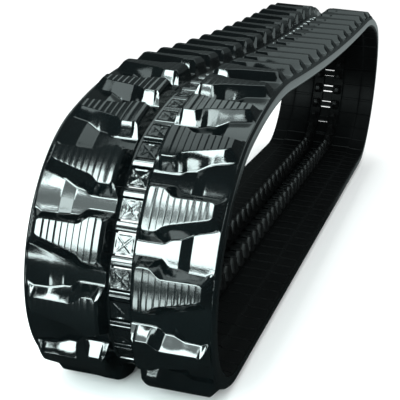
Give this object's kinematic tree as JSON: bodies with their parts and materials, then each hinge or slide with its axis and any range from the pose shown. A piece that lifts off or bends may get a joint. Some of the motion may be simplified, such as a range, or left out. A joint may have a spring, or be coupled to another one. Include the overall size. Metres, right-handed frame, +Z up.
{
  "type": "rubber track",
  "caption": "Endless rubber excavator track with staggered tread lugs, steel cores with guide horns, and sprocket windows.",
  "frame": {"origin": "middle of the ground run, at the level of the ground under the lugs", "axes": "+X across the belt, +Y along the ground run towards the rear, +Z up"},
  "size_m": [0.3, 2.1426, 0.506],
  "materials": {
    "belt_rubber": "moulded black rubber, satin to glossy",
    "lug_rubber": "moulded black rubber, glossy, faint moulding grooves on the crests",
    "web_rubber": "thin moulded black rubber skin",
    "core_steel": "forged steel under a black bonding coat",
    "strand_steel": "brass-coated steel cord"
  },
  "bodies": {
    "bottom_run": {"bottom_run_carcass": "belt_rubber", "bottom_run_cores": "core_steel", "bottom_run_strands": "strand_steel", "bottom_run_webs": "web_rubber", "bottom_run_lugs_left": "lug_rubber", "bottom_run_lugs_right": "lug_rubber"},
    "front_lower_bend": {"front_lower_bend_carcass": "belt_rubber", "front_lower_bend_cores": "core_steel", "front_lower_bend_strands": "strand_steel", "front_lower_bend_webs": "web_rubber", "front_lower_bend_lugs_left": "lug_rubber", "front_lower_bend_lugs_right": "lug_rubber"},
    "front_upper_bend": {"front_upper_bend_carcass": "belt_rubber", "front_upper_bend_cores": "core_steel", "front_upper_bend_strands": "strand_steel", "front_upper_bend_webs": "web_rubber", "front_upper_bend_lugs_left": "lug_rubber", "front_upper_bend_lugs_right": "lug_rubber"},
    "front_shoulder": {"front_shoulder_carcass": "belt_rubber", "front_shoulder_cores": "core_steel", "front_shoulder_strands": "strand_steel", "front_shoulder_webs": "web_rubber", "front_shoulder_lugs_left": "lug_rubber", "front_shoulder_lugs_right": "lug_rubber"},
    "front_top_run": {"front_top_run_carcass": "belt_rubber", "front_top_run_cores": "core_steel", "front_top_run_strands": "strand_steel", "front_top_run_webs": "web_rubber", "front_top_run_lugs_left": "lug_rubber", "front_top_run_lugs_right": "lug_rubber"},
    "rear_top_run": {"rear_top_run_carcass": "belt_rubber", "rear_top_run_cores": "core_steel", "rear_top_run_strands": "strand_steel", "rear_top_run_webs": "web_rubber", "rear_top_run_lugs_left": "lug_rubber", "rear_top_run_lugs_right": "lug_rubber"},
    "rear_shoulder": {"rear_shoulder_carcass": "belt_rubber", "rear_shoulder_cores": "core_steel", "rear_shoulder_strands": "strand_steel", "rear_shoulder_webs": "web_rubber", "rear_shoulder_lugs_left": "lug_rubber", "rear_shoulder_lugs_right": "lug_rubber"},
    "rear_upper_bend": {"rear_upper_bend_carcass": "belt_rubber", "rear_upper_bend_cores": "core_steel", "rear_upper_bend_strands": "strand_steel", "rear_upper_bend_webs": "web_rubber", "rear_upper_bend_lugs_left": "lug_rubber", "rear_upper_bend_lugs_right": "lug_rubber"},
    "rear_lower_bend": {"rear_lower_bend_carcass": "belt_rubber", "rear_lower_bend_cores": "core_steel", "rear_lower_bend_strands": "strand_steel", "rear_lower_bend_webs": "web_rubber", "rear_lower_bend_lugs_left": "lug_rubber", "rear_lower_bend_lugs_right": "lug_rubber"}
  },
  "joints": [
    {"name": "front_heel_flex", "type": "hinge", "parent": "bottom_run", "child": "front_lower_bend", "pos_m": [0, -0.84, 0.033], "axis": [-1, 0, 0], "range_deg": [-4.5, 1.51], "stiffness_Nm_per_rad": 3000},
    {"name": "front_nose_flex", "type": "hinge", "parent": "front_lower_bend", "child": "front_upper_bend", "pos_m": [0, -1.02957, 0.28686], "axis": [-1, 0, 0], "range_deg": [-4, 12], "stiffness_Nm_per_rad": 2500},
    {"name": "front_shoulder_flex", "type": "hinge", "parent": "front_upper_bend", "child": "front_shoulder", "pos_m": [0, -0.88807, 0.43062], "axis": [-1, 0, 0], "range_deg": [-5.42, 1.82], "stiffness_Nm_per_rad": 1500},
    {"name": "front_top_flex", "type": "hinge", "parent": "front_shoulder", "child": "front_top_run", "pos_m": [0, -0.57735, 0.47186], "axis": [-1, 0, 0], "range_deg": [-2.14, 0.73], "stiffness_Nm_per_rad": 800},
    {"name": "rear_heel_flex", "type": "hinge", "parent": "bottom_run", "child": "rear_lower_bend", "pos_m": [0, 0.84, 0.033], "axis": [1, 0, 0], "range_deg": [-4.5, 1.51], "stiffness_Nm_per_rad": 3000},
    {"name": "rear_nose_flex", "type": "hinge", "parent": "rear_lower_bend", "child": "rear_upper_bend", "pos_m": [0, 1.02957, 0.28686], "axis": [1, 0, 0], "range_deg": [-4.02, 12.02], "stiffness_Nm_per_rad": 2500},
    {"name": "rear_shoulder_flex", "type": "hinge", "parent": "rear_upper_bend", "child": "rear_shoulder", "pos_m": [0, 0.88807, 0.43062], "axis": [1, 0, 0], "range_deg": [-5.42, 1.82], "stiffness_Nm_per_rad": 1500},
    {"name": "rear_top_flex", "type": "hinge", "parent": "rear_shoulder", "child": "rear_top_run", "pos_m": [0, 0.57735, 0.47186], "axis": [1, 0, 0], "range_deg": [-2.14, 0.73], "stiffness_Nm_per_rad": 800}
  ],
  "couplings": [
    {"joint": "front_heel_flex", "follows": "front_nose_flex", "ratio": -0.3733},
    {"joint": "front_shoulder_flex", "follows": "front_nose_flex", "ratio": -0.4497},
    {"joint": "front_top_flex", "follows": "front_nose_flex", "ratio": -0.177},
    {"joint": "rear_heel_flex", "follows": "front_nose_flex", "ratio": -0.3733},
    {"joint": "rear_nose_flex", "follows": "front_nose_flex", "ratio": 1},
    {"joint": "rear_shoulder_flex", "follows": "front_nose_flex", "ratio": -0.4497},
    {"joint": "rear_top_flex", "follows": "front_nose_flex", "ratio": -0.177}
  ]
}
